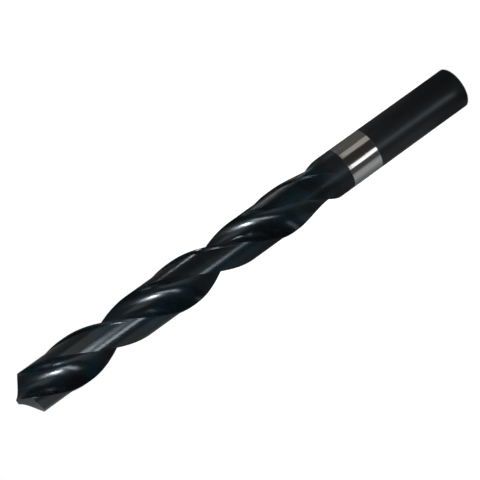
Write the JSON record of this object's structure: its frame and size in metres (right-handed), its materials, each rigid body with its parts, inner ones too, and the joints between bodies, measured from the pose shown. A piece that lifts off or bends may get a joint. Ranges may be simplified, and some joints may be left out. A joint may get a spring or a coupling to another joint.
{
  "type": "twist drill bit",
  "caption": "Right-hand helical twist drill bit with a reduced parallel shank, for drilling round holes in metal, wood and plastic in a chuck.",
  "frame": {"origin": "centre of the flat end of the shank, on which the drill stands", "axes": "+Z along the drill's axis from the shank end to the cutting point; +X towards one of the two cutting lips"},
  "size_m": [0.0134, 0.0134, 0.152],
  "materials": {
    "black_oxide_steel": "black steam-oxide finish on ground high-speed steel, with one bright ground band round the shank"
  },
  "bodies": {
    "root": {"twist_drill": "black_oxide_steel"}
  },
  "joints": []
}
